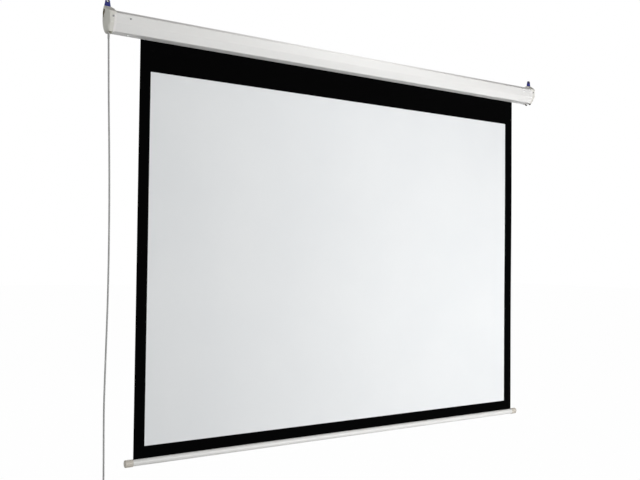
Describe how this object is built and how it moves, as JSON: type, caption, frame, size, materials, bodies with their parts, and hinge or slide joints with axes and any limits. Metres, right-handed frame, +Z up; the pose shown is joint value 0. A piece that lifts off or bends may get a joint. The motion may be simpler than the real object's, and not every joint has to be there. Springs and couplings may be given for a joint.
{
  "type": "motorized projector screen",
  "caption": "Wall-hung motorized projector screen: a faceted casing with hanging ears, a black-bordered white cloth that rolls up into it, an oval weight bar and a mains lead.",
  "frame": {"origin": "centre of the casing's flat rear face, which lies along the wall", "axes": "+X along the casing to the viewer's right, +Y towards the wall, +Z up; the screen faces -Y"},
  "size_m": [2.368, 0.092, 2.0697],
  "materials": {
    "white_paint": "white powder-coated aluminium",
    "cap_plastic": "warm white moulded plastic",
    "blue_plastic": "dark blue moulded plastic",
    "black_plastic": "black moulded plastic",
    "passivated_steel": "yellow-passivated steel",
    "zinc_steel": "zinc-plated steel",
    "motor_steel": "galvanised steel tube",
    "screw_steel": "zinc-plated screws",
    "natural_plastic": "natural plastic",
    "dark_rubber": "dark matt rubber",
    "grey_cord": "satin grey cable sheath",
    "tie_fabric": "black hook-and-loop strap",
    "plug_plastic": "satin grey moulded plug",
    "plug_metal": "nickel-plated pins",
    "screen_cloth": "matt white projection cloth with a black border",
    "black_cloth": "black back of the cloth's safety turns",
    "bar_cap_plastic": "beige moulded plastic",
    "brass": "plain brass"
  },
  "bodies": {
    "housing": {"casing": "white_paint", "end_cap_left": "cap_plastic", "end_cap_right": "cap_plastic", "ear_tip_left": "blue_plastic", "ear_tip_right": "blue_plastic", "ear_eyelet_left": "black_plastic", "ear_eyelet_right": "black_plastic", "hanger_plate_left": "passivated_steel", "hanger_plate_right": "passivated_steel", "motor_bracket": "zinc_steel", "idler_bracket": "zinc_steel", "motor_head": "black_plastic", "motor_tube": "motor_steel", "bearing_bush": "natural_plastic", "cap_screw_front_left": "screw_steel", "cap_screw_front_right": "screw_steel", "cap_screw_under_left": "screw_steel", "cap_screw_under_right": "screw_steel", "case_screw_front_left": "screw_steel", "case_screw_front_right": "screw_steel", "case_screw_under_left": "screw_steel", "case_screw_under_right": "screw_steel", "foot_left": "dark_rubber", "foot_right_front": "dark_rubber", "foot_right_rear": "dark_rubber", "cable_gland": "grey_cord", "motor_lead": "grey_cord", "power_cord": "grey_cord", "cord_coil": "grey_cord", "cord_tie": "tie_fabric", "plug_body": "plug_plastic", "plug_pin_left": "plug_metal", "plug_pin_right": "plug_metal", "screen_fabric": "screen_cloth"},
    "roller": {"roller_tube": "motor_steel", "wound_turns": "black_cloth", "fabric_key": "natural_plastic", "crown_ring": "black_plastic", "drive_wheel": "black_plastic", "motor_shaft": "zinc_steel", "idler_plug": "black_plastic", "idler_pin": "zinc_steel"},
    "bar": {"weight_bar": "white_paint", "weight_rod": "motor_steel", "hem_spline": "natural_plastic", "bar_cap_left": "bar_cap_plastic", "bar_cap_right": "bar_cap_plastic"},
    "limit_screw_up": {"limit_screw_up": "brass"},
    "limit_screw_down": {"limit_screw_down": "brass"}
  },
  "joints": [
    {"name": "bar_lift", "type": "slide", "parent": "housing", "child": "bar", "axis": [0, 0, 1], "range_m": [0, 1.665], "deforming": ["screen_fabric"]},
    {"name": "roller_turn", "type": "hinge", "parent": "housing", "child": "roller", "pos_m": [0, -0.042, -0.0085], "axis": [1, 0, 0], "range_deg": [0, 3240]},
    {"name": "limit_up_turn", "type": "hinge", "parent": "housing", "child": "limit_screw_up", "pos_m": [-1.125, -0.032, 0.0045], "axis": [1, 0, 0], "continuous": true},
    {"name": "limit_down_turn", "type": "hinge", "parent": "housing", "child": "limit_screw_down", "pos_m": [-1.125, -0.052, 0.0045], "axis": [1, 0, 0], "continuous": true}
  ],
  "couplings": [
    {"joint": "roller_turn", "follows": "bar_lift", "rad_per_m": 33.64}
  ]
}
